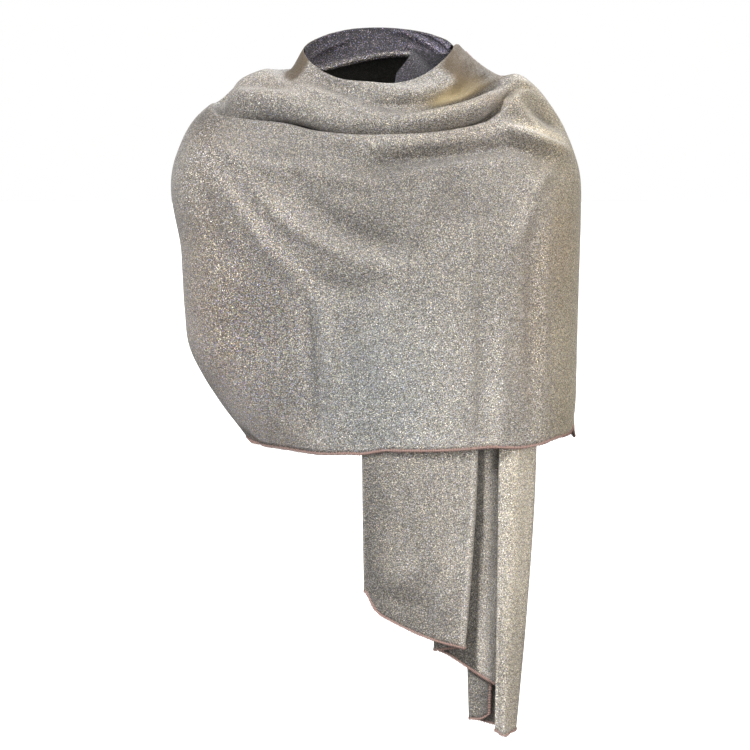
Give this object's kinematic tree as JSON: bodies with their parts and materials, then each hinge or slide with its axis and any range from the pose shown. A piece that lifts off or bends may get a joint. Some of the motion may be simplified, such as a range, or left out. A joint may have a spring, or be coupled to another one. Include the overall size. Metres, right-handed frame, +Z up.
{
  "type": "worn mesh shawl",
  "caption": "Long glitter mesh shawl as worn: round the neck, across the chest and over one shoulder, with one pleated end hanging in front and the other down the back.",
  "frame": {"origin": "between the shoulders at the base of the neck, where the wearer carries the shawl", "axes": "+Z up, the front faces -Y, +X towards the wearer's left"},
  "size_m": [0.465, 0.2541, 0.796],
  "materials": {
    "glitter_mesh": "fine knitted mesh with metallic thread, sparkling in small points, with a rolled edge in a dusty pink thread"
  },
  "bodies": {
    "root": {"front_wrap": "glitter_mesh", "back_wrap": "glitter_mesh", "outer_end": "glitter_mesh", "nape_fold": "glitter_mesh", "inner_shoulder": "glitter_mesh", "inner_end": "glitter_mesh"}
  },
  "joints": []
}
